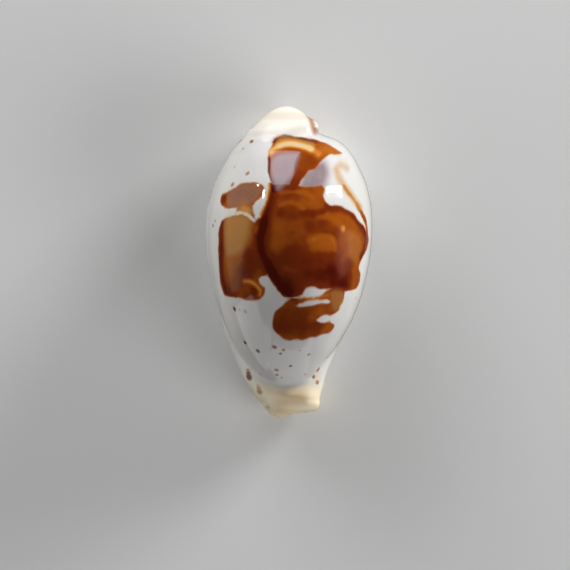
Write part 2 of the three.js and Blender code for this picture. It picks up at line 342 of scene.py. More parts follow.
# Thin films: outline, softness of its edge, strength
# The lilac patch lies under the brown, the others over it; the lilac and golden films are partly painted
# reflection, a pale veil of lamps in the gloss
LILAC_PATCH = [
    ([(298, 191), (301, 178), (305, 170), (313, 164), (320, 161), (325, 162), (328, 167), (328.5, 174),
      (327, 181), (323, 188), (315, 192), (304, 192)], 7.0, 1.0),
]
# Mostly painted reflection: a pale lilac veil of lamps in the gloss over the hood's left half and the small
# blotch; the faintest, on the right, is the brown's own mauve
LILAC_FILMS_AND_REFLECTIONS = [
    ([(272, 160.5), (277, 156), (285, 154), (293, 153.5), (299, 155), (297, 163), (294, 171), (290, 178),
      (284.5, 184), (279.5, 189.5), (277, 189.5), (275.5, 184), (273, 178), (271.3, 170)], 3.4, 0.82),
    ([(228, 193), (237, 187), (247, 184), (257, 186), (262, 191), (256, 199), (246, 205), (229, 206)],
     3.0, 0.22),
    ([(340, 226), (350, 234), (352, 250), (349, 268), (341, 276), (336, 262), (338, 244)], 6.0, 0.07),
]
# The first two, over the left block, are painted reflection: a lamp's pale veil in the gloss; the others
# tint the brown golden
GOLDEN_FILMS_AND_REFLECTIONS = [
    ([(226, 218), (234, 214), (246, 215), (250, 222), (248, 238), (242, 252), (232, 256), (226.5, 252)],
     6.0, 0.36),
    ([(226.5, 250), (240, 250), (241, 272), (238, 290), (231, 290), (228.5, 275)], 4.0, 0.09),
    ([(228, 190), (236, 185), (247, 181), (258, 184), (262, 190), (257, 198), (249, 206), (240, 209),
      (228, 209)], 1.6, 0.12),
    ([(237, 207), (250, 207), (253, 214), (237, 213)], 2.5, 0.3),
    ([(276, 146), (280, 139), (290, 138), (304, 140.5), (314, 143.5), (310, 147), (298, 143.5),
      (284, 143.5)], 4.5, 0.4),
    ([(344, 184), (350, 190.5), (357, 199.5), (362, 208), (358, 210), (351, 201), (345, 193)], 2.0, 0.35),
    ([(331, 292), (343, 292), (342, 304), (334, 311)], 3.0, 0.18),
    ([(349, 232), (359, 236), (360, 250), (354, 262), (349, 250)], 5.0, 0.12),
]

# Small brown spots: place, radius, strength
SPOTS = [
    (251.5, 141.5, 2.3, 0.8), (240, 141.5, 3.0, 0.8), (247.5, 173.5, 2.6, 0.6), (232.5, 184.5, 2.6, 0.6),
    (213, 225.5, 1.9, 0.9), (215, 221, 1.5, 0.7), (234.5, 309, 2.4, 0.9), (245, 342.5, 2.1, 1.0),
    (258, 351, 2.3, 1.0), (274.5, 347, 2.3, 0.8), (283.5, 350, 1.6, 0.7), (280.5, 353.7, 1.6, 0.8),
    (309, 354.5, 1.8, 0.6), (290.7, 366, 1.7, 0.8), (276.5, 370, 2.2, 0.7), (277, 375, 1.8, 0.7),
    (327.5, 357.3, 1.8, 0.8), (318, 369.5, 2.7, 0.8), (313.6, 376.7, 1.9, 0.7), (317.3, 382.5, 2.1, 0.6),
    (248.9, 376.8, 3.4, 1.0), (248.4, 373.6, 2.8, 0.85), (247.8, 370.6, 2.2, 0.6), (259.4, 391.8, 3.2, 0.6),
    (258.7, 388.8, 2.8, 0.45), (258, 386, 2.1, 0.35), (243, 148.6, 1.8, 0.35), (234.5, 167, 2.0, 0.3),
    (239.6, 309.8, 1.6, 0.35), (245.3, 311.5, 2.1, 0.35), (300, 350.3, 1.6, 0.3), (281.7, 377.8, 1.8, 0.35),
    (305, 374.3, 1.6, 0.35), (337.5, 343.5, 2.0, 0.35), (356, 298, 1.9, 0.3), (260.3, 374, 1.9, 0.4),
    (267.7, 407.3, 3.0, 0.25),
]

# Markings: lowest place that carries one, steps between two points of a path, and the value far outside
LOWEST_MARK = 1.5
PATH_STEPS = 6
FAR_OUTSIDE = -9.0

# Distance in metres at which a place counts as on a corner of its face
TOUCHING = 1e-7

# Colours of the ground, the films and the spots; the lilac and golden films partly paint reflection, and the
# crevice pink paints shade too
BACK_WHITE = (0.66, 0.645, 0.635)
MARGIN_WHITE = (0.7, 0.688, 0.65)
SPIRE_CREAM = (0.8, 0.75, 0.67)
BEAK_CREAM = (0.96, 0.83, 0.58)
ORANGE_CREAM = (0.8, 0.5, 0.22)
# Dark pink: the crease's pink tint, darkened as painted shade
CREVICE_PINK_AND_SHADE = (0.4, 0.2, 0.11)
# The lilac film colour paints a lamp's reflection over the brown
LILAC_FILM_AND_REFLECTION = (0.28, 0.225, 0.26)
PATCH_LILAC = (0.27, 0.205, 0.22)
# Golden film colour, also used to paint a lamp's reflection over the left block
GOLDEN_FILM_AND_REFLECTION = (0.62, 0.43, 0.14)
TAN = (0.56, 0.37, 0.19)
SPOT_TAN = (0.42, 0.18, 0.04)
SPOT_BROWN = (0.12, 0.024, 0.004)

# The blotches' pigment, from its thinnest to its deepest
PIGMENT = [
    (0.0, (0.6, 0.48, 0.31)),
    (0.12, (0.66, 0.41, 0.14)),
    (0.25, (0.585, 0.21, 0.03)),
    (0.5, (0.335, 0.075, 0.005)),
    (0.75, (0.165, 0.021, 0.002)),
    (1.0, (0.075, 0.004, 0.0005)),
]
PIGMENT_DEPTH = 0.57

# Where each colour starts and is full: the flank in radians from the crest, a spot's edge in its own radius
CALLUS_EDGE = (-0.15, 0.5)
FLANK = (0.6, 1.25)
SPIRE_CREAM_ALONG = (10.5, 13.0)
BEAK_CREAM_ALONG = (-10.5, -13.0)
BLOTCH_EDGE = (-0.13, 0.15)
BLOTCH_FULLNESS = (-0.28, 0.22)
SPOT_EDGE = (1.7, 0.3)
SPOT_HALO = (0.05, 0.45)
SPOT_CORE = (0.35, 0.95)

# Strength of a spot's tan halo
HALO_STRENGTH = 0.7

# The orange tint on the front beak, and the pink tint with painted shade in the spire end's crease: line,
# reach and strength
BEAK_ORANGE = ((-0.7, -13.7), (0.9, -12.9))
ORANGE_REACH = 1.5
ORANGE_STRENGTH = 0.5
CREVICE_REACH = 0.95 * LOBE_CREASE_REACH
CREVICE_STRENGTH = 0.95

# Noises: scale in a millimetre and detail
COARSE_NOISE = (0.25, 3)
FINE_NOISE = (0.9, 4)
RIPPLE_NOISE = (0.6, 1)

# How much the coarse and the fine noise change each marking
GROUND_WANDER = 0.4
TAN_MOTTLE = 0.8
LILAC_MOTTLE = 0.5
GOLDEN_MOTTLE = 0.6
SHADE_MOTTLE = 0.8
EDGE_COARSE = 0.1
EDGE_FINE = 0.5
FULLNESS_COARSE = 0.3
DEPTH_COARSE = 0.3
DEPTH_FINE = 0.16
SPOT_FINE = 0.8

# Polish: roughness of the back, what the callus and the fine noise add to it, and height of the faint ripple
BACK_ROUGHNESS = 0.06
CALLUS_ROUGHNESS = 0.12
FINE_ROUGHNESS = 0.03
RIPPLE_HEIGHT = 0.006

# Lamps that light the shell and don't show in its gloss: name, place, size, brightness
SHELL_CENTRE = (0, 0, 6)
LAMPS = [
    ("key", (266, 220, 70), (140, 110), 25),
    ("spire", (-140, 260, 75), (220, 170), 6.2),
    ("left", (-300, 0, 110), (500, 220), 1.0),
    ("front", (330, -200, 170), (300, 160), 5.5),
]

# Cards that only show in its gloss: name, place, aim, size, brightness, roll in degrees
CARDS = [
    ("left card", (-22, 10, 6.8), (0, 10, 6.8), (36, 13.6), 0.13, 0),
    ("front left card", (-13.5, -16.5, 6.8), (0, -3, 6.8), (15.6, 13.6), 0.9, 0),
    ("front card", (2, -22, 5), (2, 0, 5), (20, 10), 0.9, -14),
    ("floor card", (0, 0, -0.5), (0, 0, 1), (26, 40), 0.14, 0),
    ("spire card", (-4.5, 28, 13), (-4.5, 0, 13), (11.5, 19), 2.6, -13),
    ("star", (54, 40.3, 13.6), (4.3, 6.8, 10.5), (7, 27), 40, -29),
    ("sparkle", (-39.8, 47.9, 33.9), SHELL_CENTRE, (4, 3), 40, 0),
    ("small sparkle", (-43.8, 50.2, 20.2), SHELL_CENTRE, (3, 3), 40, 0),
]

# Surroundings: the floor's side in metres, how far it lies under the shell, its grey and the world's
FLOOR_SIDE = 4
FLOOR_DROP = 0.05
FLOOR_GREY = 0.8
WORLD_GREY = 0.04

# Sockets of a Mix node that mixes colours
MIX_SHARE = 0
MIX_FIRST = 6
MIX_SECOND = 7
MIX_RESULT = 2


class Field:
    """A number in a node tree that takes ordinary arithmetic."""

    def __init__(self, socket):
        self.socket = socket
        self.tree = socket.id_data

    def calc(self, operation, *others):
        node = self.tree.nodes.new("ShaderNodeMath")
        node.operation = operation
        for slot, value in zip(node.inputs, (self, *others)):
            feed(slot, value)
        return Field(node.outputs[0])

    def __add__(self, other):
        return self.calc("ADD", other)

    def __sub__(self, other):
        return self.calc("SUBTRACT", other)

    def __mul__(self, other):
        return self.calc("MULTIPLY", other)

    def __truediv__(self, other):
        return self.calc("DIVIDE", other)

    def __pow__(self, other):
        return self.calc("POWER", other)

    def __neg__(self):
        return self * -1.0

    def __abs__(self):
        return self.calc("ABSOLUTE")

    def sqrt(self):
        return self.calc("SQRT")

    def most(self, other):
        return self.calc("MAXIMUM", other)

    def least(self, other):
        return self.calc("MINIMUM", other)

    def soft_most(self, other, reach):
        return self.calc("SMOOTH_MAX", other, reach)

    def soft_least(self, other, reach):
        return self.calc("SMOOTH_MIN", other, reach)

    def ramp(self, start, end):
        """0 at start, 1 at end, smooth between."""
        node = self.tree.nodes.new("ShaderNodeMapRange")
        node.interpolation_type = "SMOOTHSTEP"
        for slot, value in zip(node.inputs, (self, start, end)):
            feed(slot, value)
        return Field(node.outputs[0])


def feed(slot, value):
    """Links a field to a socket, or sets a plain value on it."""
    if isinstance(value, Field):
        slot.id_data.links.new(value.socket, slot)
    else:
        slot.default_value = value


def split(socket):
    """The three parts of a vector."""
    node = socket.id_data.nodes.new("ShaderNodeSeparateXYZ")
    socket.id_data.links.new(socket, node.inputs[0])
    return [Field(part) for part in node.outputs]


def join(x, y, z):
    """The vector of three parts."""
    node = x.tree.nodes.new("ShaderNodeCombineXYZ")
    for slot, value in zip(node.inputs, (x, y, z)):
        feed(slot, value)
    return Field(node.outputs[0])


def profile(y, places, values):
    """The smooth curve through values at places along the shell, read at y."""
    node = y.tree.nodes.new("ShaderNodeFloatCurve")
    low = min(values)
    rise = max(max(values) - low, TINY)
    first = places[0]
    length = places[-1] - first
    mapping = node.mapping
    mapping.use_clip = False
    points = mapping.curves[0].points
    for place, value in zip(places[1:-1], values[1:-1]):
        points.new((place - first) / length, (value - low) / rise)
    points[0].location = (0.0, (values[0] - low) / rise)
    points[len(places) - 1].location = (1.0, (values[-1] - low) / rise)
    mapping.update()
    feed(node.inputs["Value"], (y - first) / length)
    return Field(node.outputs[0]) * rise + low


def column(y, rows, formula):
    """The smooth curve of a formula of each station's sizes, read at y."""
    return profile(y, [row[0] for row in rows], [formula(*row[1:]) for row in rows])


def new_group(name, inputs, outputs):
    """An empty node tree with named inputs and outputs, and the nodes at its two ends."""
    tree = bpy.data.node_groups.new(name, "GeometryNodeTree")
    for label, kind in inputs:
        tree.interface.new_socket(label, in_out="INPUT", socket_type=kind)
    for label, kind in outputs:
        tree.interface.new_socket(label, in_out="OUTPUT", socket_type=kind)
    return tree, tree.nodes.new("NodeGroupInput"), tree.nodes.new("NodeGroupOutput")


def back_section(y, share):
    """Middle, squared half width and squared height of the oval at y of the back at a share of its size."""
    there = y / share
    middle = column(there, BACK, lambda left, right, top: (left + right) / 2)
    wide = column(there, BACK, lambda left, right, top: ((right - left) / 2) ** 2)
    tall = column(there, BACK, lambda left, right, top: (top - MARGIN_HEIGHT) ** 2)
    return middle, wide.most(TINY) * share**2, tall.most(TINY) * share**2


def dome(x, y, z, share, bowl_depth):
    """Distance from an egg-shaped dome over the margin line, with a shallow bowl under it."""
    middle, wide, tall = back_section(y, share)
    bowl = (-((y / (BACK_END * share)) ** 2.0) + 1.0).most(TINY) * bowl_depth**2
    up = z - MARGIN_HEIGHT
    above = up.calc("GREATER_THAN", 0.0)
    flatness = wide / (tall * above + bowl * (-above + 1.0))
    across = x - middle
    excess = across * across + up * up * flatness - wide
    slope = (across * across + (up * flatness) ** 2.0).sqrt() * 2.0 + DOME_LEAST_SLOPE
    return (excess / slope).most(abs(y) - BACK_END * share)


def rim(x, y, z):
    """Distance from the callused rim: a thick rounded plate with a beak at each end."""
    middle = column(y, RIM, lambda left, right, low, high: (left + right) / 2)
    wide = column(y, RIM, lambda left, right, low, high: ((right - left) / 2) ** 2).most(TINY).sqrt()
    centre = column(y, RIM, lambda left, right, low, high: (low + high) / 2)
    tall = column(y, RIM, lambda left, right, low, high: ((high - low) / 2) ** 2).most(TINY).sqrt()
    out = abs(x - middle) / wide
    up = abs(z - centre) / tall
    size = (out**RIM_SQUARENESS + up**RIM_SQUARENESS) ** (1 / RIM_SQUARENESS)
    steep_out = out ** (RIM_SQUARENESS - 1) / wide
    steep_up = up ** (RIM_SQUARENESS - 1) / tall
    steep = (steep_out * steep_out + steep_up * steep_up).sqrt()
    steep = steep / size.most(LEAST_SIZE) ** (RIM_SQUARENESS - 1)
    return ((size - 1.0) / steep.most(RIM_LEAST_SLOPE)).most(abs(y) - HALF_LENGTH)


def tooth_wave(y, teeth):
    """1 on the crest of each tooth of a lip, 0 between teeth and beyond the first and the last."""
    count, first, last = teeth
    pitch = (last - first) / (count - 1)
    wave = ((y - first) * (2 * math.pi / pitch)).calc("COSINE") * 0.5 + 0.5
    reached = y.ramp(first - 0.5 * pitch, first) * y.ramp(last + 0.5 * pitch, last)
    return wave * reached


def slit_wall(x, y, z, tooth_height):
    """Above 0 in the slit and between its round lips, below 0 in the shell beside them."""
    centre, half_width, lip, lean, roof = (profile(y, [row[0] for row in SLIT], list(values))
                                           for values in list(zip(*SLIT))[1:])
    base = column(y, RIM, lambda left, right, low, high: low).most(0.0)
    up = z - base + LIP_SINK
    across = x - centre - lean * up
    left = across.calc("LESS_THAN", 0.0)
    wave = tooth_wave(y, OUTER_TEETH) * left + tooth_wave(y, INNER_TEETH) * (-left + 1.0)
    crest = wave * tooth_height
    lip_width = lip * (-crest + 1.0)
    lip_rise = lip * LIP_STEEPNESS * (-crest + 1.0)
    beside = abs(across) - half_width + crest * TOOTH_OVERHANG
    out = ((lip_width - beside) / lip_width).most(0.0)
    down = ((lip_rise - up) / lip_rise).most(0.0)
    size = (out * out + down * down).sqrt()
    steep = ((out / lip_width) ** 2.0 + (down / lip_rise) ** 2.0).sqrt() / size.most(LEAST_SIZE)
    wall = (size - 1.0) / steep.most(LIP_LEAST_SLOPE)
    return wall.soft_least(roof - z, ROOF_BLEND)


def ridge(x, y, ends, reach):
    """1 on a straight line between two ends, falling smoothly to 0 at a reach from it, seen from above."""
    (start_x, start_y), (end_x, end_y) = ends
    run = end_x - start_x
    rise = end_y - start_y
    share = (((x - start_x) * run + (y - start_y) * rise) / (run**2 + rise**2)).most(0.0).least(1.0)
    across = x - start_x - share * run
    along = y - start_y - share * rise
    return (across * across + along * along).sqrt().ramp(reach, 0.0)


def lobe_relief(x, y, z):
    """How far the lobes at the two ends lie above the plain rim: a hump and a crease."""
    hump = ridge(x, y, BEAK_HUMP, HUMP_REACH) * HUMP_HEIGHT
    crease = ridge(x, y, LOBE_CREASE, LOBE_CREASE_REACH) * LOBE_CREASE_DEPTH
    return (hump - crease) * z.ramp(*RELIEF_RISE)


def skin_group():
    """The node group for the distance from the shell's skin at a place, and where on the shell that is."""
    tree, given, made = new_group(
        "Shell skin",
        [("Place", "NodeSocketVector")] + [(label, "NodeSocketFloat") for label in SKIN_SIZES],
        [(label, "NodeSocketFloat") for label in ("Skin", "Around", "Arc", "Callus")],
    )
    x, y, z = split(given.outputs["Place"])
    sizes = [Field(given.outputs[label]) for label in SKIN_SIZES]
    crease, side_blend, spire_blend, beak_blend, lip, tooth_height = sizes
    left_side = x.ramp(*LEFT_SIDE_ACROSS) * y.ramp(*LEFT_SIDE_ALONG)
    by_spire = y.ramp(*SPIRE_SIDE_ALONG) * x.ramp(*SPIRE_SIDE_ACROSS)
    by_beak = y.ramp(*BEAK_SIDE_ALONG)
    back = dome(x, y, z, 1.0, MARGIN_HEIGHT)
    plate = rim(x, y, z) - lobe_relief(x, y, z) + left_side * z.ramp(*SIDE_TUCK_RISE) * SIDE_TUCK
    blend = crease + left_side * side_blend + by_spire * spire_blend + by_beak * beak_blend
    outside = back.soft_least(plate, blend)
    wall = slit_wall(x, y, z, tooth_height)
    hollow = dome(x, y, z, HOLLOW_SHARE, HOLLOW_DEPTH)
    body = outside.soft_most(wall, lip).soft_most(-hollow, lip).soft_most(-z, BASE_BLEND)
    middle, wide, tall = back_section(y, 1.0)
    around = ((x - middle) / wide.sqrt()).calc("ARCTAN2", (z - MARGIN_HEIGHT) / tall.sqrt())
    arc = around * (wide * tall) ** 0.25
    callus = (back - plate) * (-left_side * SIDE_CALLUS_LOSS + 1.0)
    for label, value in (("Skin", body), ("Around", around), ("Arc", arc), ("Callus", callus)):
        feed(made.inputs[label], value)
    return tree


def use_group(tree, group, place, sizes):
    """A node that reads the skin's group at a place."""
    node = tree.nodes.new("GeometryNodeGroup")
    node.node_tree = group
    feed(node.inputs["Place"], place)
    for label, value in sizes.items():
        feed(node.inputs[label], value)
    return node


def settle(tree, geometry, group, sizes):
    """Moves every point straight onto the skin, by one Newton step."""
    step = PROBE_STEP
    place = tree.nodes.new("GeometryNodeInputPosition").outputs[0]
    x, y, z = split(place)
    here = Field(use_group(tree, group, Field(place), sizes).outputs["Skin"])
    slopes = []
    for near in (join(x + step, y, z), join(x, y + step, z), join(x, y, z + step)):
        skin = Field(use_group(tree, group, near, sizes).outputs["Skin"])
        slopes.append((skin - here) / step)
    steepness = slopes[0] * slopes[0] + slopes[1] * slopes[1] + slopes[2] * slopes[2]
    pull = -here / steepness.most(LEAST_STEEPNESS)
    node = tree.nodes.new("GeometryNodeSetPosition")
    tree.links.new(geometry, node.inputs["Geometry"])
    feed(node.inputs["Offset"], join(*[slope * pull for slope in slopes]))
    return node.outputs["Geometry"]


def store(tree, geometry, label, value):
    """Keeps a number of every point as an attribute."""
    node = tree.nodes.new("GeometryNodeStoreNamedAttribute")
    node.data_type = "FLOAT"
    node.domain = "POINT"
    node.inputs["Name"].default_value = label
    tree.links.new(geometry, node.inputs["Geometry"])
    feed(node.inputs["Value"], value)
    return node.outputs["Geometry"]


def skin_mesh(tree, voxel, group, sizes):
    """A mesh of the skin, from a volume that is filled where the shell is."""
    cube = tree.nodes.new("GeometryNodeVolumeCube")
    cube.inputs["Min"].default_value = VOLUME_LOW
    cube.inputs["Max"].default_value = VOLUME_HIGH
    for axis, extent in zip("XYZ", VOLUME_HIGH - VOLUME_LOW):
        feed(cube.inputs["Resolution " + axis], (voxel ** -1.0) * extent)
    place = Field(tree.nodes.new("GeometryNodeInputPosition").outputs[0])
    skin = Field(use_group(tree, group, place, sizes).outputs["Skin"])
    feed(cube.inputs["Density"], (-skin / (2 * SKIN_DEPTH) + SKIN_LEVEL).most(0.0).least(1.0))
    mesher = tree.nodes.new("GeometryNodeVolumeToMesh")
    mesher.inputs["Threshold"].default_value = SKIN_LEVEL
    tree.links.new(cube.outputs[0], mesher.inputs["Volume"])
    return mesher.outputs[0]


def shell_tree(material):
    """The node tree that makes the whole shell."""
    tree, given, made = new_group(
        "Cowrie shell",
        [(label, "NodeSocketFloat") for label in ("Voxel", *SKIN_SIZES)],
        [("Shell", "NodeSocketGeometry")],
    )
    group = skin_group()
    sizes = {label: Field(given.outputs[label]) for label in SKIN_SIZES}
    geometry = skin_mesh(tree, Field(given.outputs["Voxel"]), group, sizes)
    for _ in range(SETTLE_STEPS):
        geometry = settle(tree, geometry, group, sizes)
    place = Field(tree.nodes.new("GeometryNodeInputPosition").outputs[0])
    chart = use_group(tree, group, place, sizes)
    for label in ("Around", "Arc", "Callus"):
        geometry = store(tree, geometry, label.lower(), Field(chart.outputs[label]))
    smaller = tree.nodes.new("GeometryNodeTransform")
    smaller.inputs["Scale"].default_value = (UNIT, UNIT, UNIT)
    smooth = tree.nodes.new("GeometryNodeSetShadeSmooth")
    finish = tree.nodes.new("GeometryNodeSetMaterial")
    finish.inputs["Material"].default_value = material
    real = tree.nodes.new("GeometryNodeRealizeInstances")
    for node in (smaller, smooth, finish, real):
        tree.links.new(geometry, node.inputs["Geometry"])
        geometry = node.outputs["Geometry"]
    tree.links.new(geometry, made.inputs["Shell"])
    return tree


def grow(name, tree, sizes):
    """Runs a node tree and keeps what it makes as a plain mesh object."""
    seed = bpy.data.objects.new(name + "_seed", bpy.data.meshes.new(name + "_seed"))
    bpy.context.scene.collection.objects.link(seed)
    modifier = seed.modifiers.new(name, "NODES")
    modifier.node_group = tree
    for item in tree.interface.items_tree:
        if item.in_out == "INPUT":
            modifier[item.identifier] = sizes[item.name]
    bpy.context.view_layer.update()
    grown = seed.evaluated_get(bpy.context.evaluated_depsgraph_get())
    mesh = bpy.data.meshes.new_from_object(grown)
    mesh.name = name
    bpy.data.objects.remove(seed)
    piece = bpy.data.objects.new(name, mesh)
    bpy.context.scene.collection.objects.link(piece)
    return piece


def points_of(piece):
    """The places of a piece's points, in metres."""
    places = np.empty(3 * len(piece.data.vertices), np.float32)
    piece.data.vertices.foreach_get("co", places)
    return places.reshape(-1, 3)


def chart_of(piece):
    """Each point's place on the shell in millimetres: along its arc from the crest, and along its length."""
    arc = np.empty(len(piece.data.vertices), np.float32)
    piece.data.attributes["arc"].data.foreach_get("value", arc)
    return np.stack([arc, points_of(piece)[:, 1] / UNIT], axis=1)


def sight_line(pixel):
    """A point on the margin plane that the camera sees at a pixel of the photograph, in metres."""
    x = (pixel[0] - PHOTO_MIDDLE[0]) * PIXEL
    y = (PHOTO_MIDDLE[1] - pixel[1]) * PIXEL
    return Vector((x, y, MARGIN_HEIGHT)) * UNIT


def seen_on(piece, eye, pixel):
    """The place on a piece that the camera sees at a pixel, and the face that it is on."""
    aim = (sight_line(pixel) - eye).normalized()
    hit, place, _, face = piece.ray_cast(eye, aim)
    if not hit:
        raise ValueError(f"pixel {pixel} is beside the shell")
    return place, face


def smooth_path(points, closed):
    """A rounded path through points (a Catmull-Rom curve)."""
    points = np.asarray(points, float)
    if len(points) < 3:
        return points
    if closed:
        ends = np.concatenate([points[-1:], points, points[:2]])
    else:
        ends = np.concatenate([points[:1], points, points[-1:]])
    path = []
    for a, b, c, d in zip(ends, ends[1:], ends[2:], ends[3:]):
        for t in np.arange(PATH_STEPS) / PATH_STEPS:
            path.append(0.5 * (2 * b + (c - a) * t + (2 * a - 5 * b + 4 * c - d) * t**2
                               + (3 * b - a - 3 * c + d) * t**3))
    if not closed:
        path.append(points[-1])
    return np.array(path)


def distance_to_path(places, path, closed):
    """Distance of each place from a path, and how far along the path the nearest point is, from 0 to 1."""
    starts = path if closed else path[:-1]
    ends = np.roll(path, -1, axis=0) if closed else path[1:]
    if len(path) == 1:
        return np.linalg.norm(places - path[0], axis=1), np.zeros(len(places))
    best = np.full(len(places), np.inf)
    along = np.zeros(len(places))
    for index, (start, end) in enumerate(zip(starts, ends)):
        step = end - start
        share = np.clip(((places - start) @ step) / max(step @ step, TINY**2), 0, 1)
        gap = np.linalg.norm(places - start - share[:, None] * step, axis=1)
        nearer = gap < best
        best[nearer] = gap[nearer]
        along[nearer] = ((index + share) / len(starts))[nearer]
    return best, along


def inside(places, path):
    """Whether each place is inside a closed path."""
    crossings = np.zeros(len(places), int)
    for (x0, y0), (x1, y1) in zip(path, np.roll(path, -1, axis=0)):
        spans = (places[:, 1] < y0) != (places[:, 1] < y1)
        if y0 != y1:
            cross = x0 + (places[:, 1] - y0) * (x1 - x0) / (y1 - y0)
            crossings += spans & (places[:, 0] < cross)
    return crossings % 2 == 1


def smooth_step(share):
    """0 up to 0, 1 from 1 on, smooth between."""
    share = np.clip(share, 0, 1)
    return share**2 * (3 - 2 * share)


class Markings:
    """Works out the markings at every point of the back, from paths seen in the photograph."""

    def __init__(self, piece, eye):
        self.piece = piece
        self.eye = eye
        self.chart = chart_of(piece)
        self.back = np.flatnonzero(points_of(piece)[:, 2] > LOWEST_MARK * UNIT)
        self.places = self.chart[self.back]

    def on_chart(self, pixel):
        """The place on the chart that the camera sees at a pixel."""
        place, face = seen_on(self.piece, self.eye, pixel)
        corners = list(self.piece.data.polygons[face].vertices)
        gaps = [(self.piece.data.vertices[corner].co - place).length for corner in corners]
        weights = [1.0 / max(gap, TOUCHING) for gap in gaps]
        return np.average(self.chart[corners], axis=0, weights=weights)

    def path(self, pixels, closed):
        return smooth_path([self.on_chart(pixel) for pixel in pixels], closed)

    def outline(self, pixels):
        """Distance inside an outline, below 0 outside it."""
        path = self.path(pixels, True)
        gap, _ = distance_to_path(self.places, path, True)
        return np.where(inside(self.places, path), gap, -gap)

    def stroke(self, pixels, start_width, end_width):
        """Distance inside a line whose half width changes along it."""
        gap, along = distance_to_path(self.places, self.path(pixels, False), False)
        return (start_width + (end_width - start_width) * along) * PIXEL - gap

    def blotch(self):
        """Distance inside the brown, below 0 outside it."""
        cover = np.full(len(self.places), -np.inf)
        for pixels in BLOTCHES:
            cover = np.maximum(cover, self.outline(pixels))
        for pixels, start_width, end_width in LINES:
            cover = np.maximum(cover, self.stroke(pixels, start_width, end_width))
        for pixels in GAPS:
            cover = np.minimum(cover, -self.outline(pixels))
        for pixels, start_width, end_width in PALE_LINES:
            cover = np.minimum(cover, -self.stroke(pixels, start_width, end_width))
        return cover

    def shade(self):
        """How much darker than plain the brown is."""
        total = np.zeros(len(self.places))
        for pixels, width, amount in SHADES:
            gap, _ = distance_to_path(self.places, self.path(pixels, False), False)
            total += amount * smooth_step(1 - gap / (width * PIXEL))
        return total

    def film(self, films):
        """How much of each place is covered by films with outlines."""
        cover = np.zeros(len(self.places))
        for pixels, softness, strength in films:
            depth = self.outline(pixels) / (2 * softness * PIXEL)
            cover = np.maximum(cover, strength * smooth_step(0.5 + depth))
        return cover

    def line_film(self, lines):
        """How much of each place is covered by soft lines."""
        cover = np.zeros(len(self.places))
        for pixels, width, softness, strength in lines:
            depth = self.stroke(pixels, width, width) / (2 * softness * PIXEL)
            cover = np.maximum(cover, strength * smooth_step(0.5 + depth))
        return cover

    def store(self, label, values, elsewhere):
        everywhere = np.full(len(self.chart), elsewhere, np.float32)
        everywhere[self.back] = values
        layer = self.piece.data.attributes.new(label, "FLOAT", "POINT")
        layer.data.foreach_set("value", everywhere)


def attribute(tree, label):
    node = tree.nodes.new("ShaderNodeAttribute")
    node.attribute_name = label
    return Field(node.outputs["Fac"])


def noise(tree, place, scale, detail):
    """A noise about 0."""
    node = tree.nodes.new("ShaderNodeTexNoise")
    node.inputs["Scale"].default_value = scale / UNIT
    node.inputs["Detail"].default_value = detail
    tree.links.new(place, node.inputs["Vector"])
    return Field(node.outputs["Fac"]) - 0.5


def colour_mix(tree, share, first, second):
    node = tree.nodes.new("ShaderNodeMix")
    node.data_type = "RGBA"
    feed(node.inputs[MIX_SHARE], share)
    for slot, value in ((MIX_FIRST, first), (MIX_SECOND, second)):
        feed(node.inputs[slot], value if isinstance(value, Field) else (*value, 1.0))
    return Field(node.outputs[MIX_RESULT])


def colour_ramp(tree, share, stops):
    node = tree.nodes.new("ShaderNodeValToRGB")
    node.color_ramp.interpolation = "EASE"
    elements = node.color_ramp.elements
    while len(elements) < len(stops):
        elements.new(0.5)
    for element, (place, colour) in zip(elements, stops):
        element.position = place
        element.color = (*colour, 1.0)
    feed(node.inputs["Fac"], share)
    return Field(node.outputs["Color"])


def mottled(tree, label, wander, amount):
    """An attribute made uneven by a noise."""
    return attribute(tree, label) * (wander * amount + 1.0)


def ground_colour(tree, place, callus, coarse):
    """The white of the back and its flanks, the cream and orange of the two ends, and pink with painted
    shade in the spire end's crease.
    """
    across, along, _ = (part / UNIT for part in split(place))
    flank = (abs(attribute(tree, "around")) + coarse * GROUND_WANDER).ramp(*FLANK)
    ground = colour_mix(tree, flank, BACK_WHITE, MARGIN_WHITE)
    spire_cream = callus * (along + coarse).ramp(*SPIRE_CREAM_ALONG)
    ground = colour_mix(tree, spire_cream, ground, SPIRE_CREAM)
    beak_cream = callus * (along + coarse).ramp(*BEAK_CREAM_ALONG)
    ground = colour_mix(tree, beak_cream, ground, BEAK_CREAM)
    orange = callus * ridge(across + coarse, along + coarse, BEAK_ORANGE, ORANGE_REACH)
    ground = colour_mix(tree, orange * ORANGE_STRENGTH, ground, ORANGE_CREAM)
    # Painted shade: the spire end's crease is darkened with dark pink
    crevice_pink_and_shade = ridge(across, along, LOBE_CREASE, CREVICE_REACH)
    return colour_mix(tree, crevice_pink_and_shade * CREVICE_STRENGTH, ground, CREVICE_PINK_AND_SHADE)


def blotch_colour(tree, ground, coarse, fine):
    """The brown blotches over the ground, thinner in pigment towards their edges."""
    edge = attribute(tree, "blotch") + fine * EDGE_FINE + coarse * EDGE_COARSE
    cover = edge.ramp(*BLOTCH_EDGE)
    thin, full = BLOTCH_FULLNESS
    fullness = edge.ramp(thin, coarse * FULLNESS_COARSE + full)
    shade = mottled(tree, "shade", coarse, SHADE_MOTTLE)
    depth = (shade + coarse * DEPTH_COARSE + fine * DEPTH_FINE + PIGMENT_DEPTH) * fullness
    return colour_mix(tree, cover, ground, colour_ramp(tree, depth, PIGMENT))


def spot_cover(tree, place, wobble, spots):
    """How much of each point is covered by one of the small spots."""
    cover = None
    for spot, radius, strength in spots:
        gap = tree.nodes.new("ShaderNodeVectorMath")
        gap.operation = "DISTANCE"
        tree.links.new(place, gap.inputs[0])
        gap.inputs[1].default_value = spot
        reach = Field(gap.outputs["Value"]) / radius + wobble * SPOT_FINE
        dot = reach.ramp(*SPOT_EDGE) * strength
        cover = dot if cover is None else cover.most(dot)
    return cover


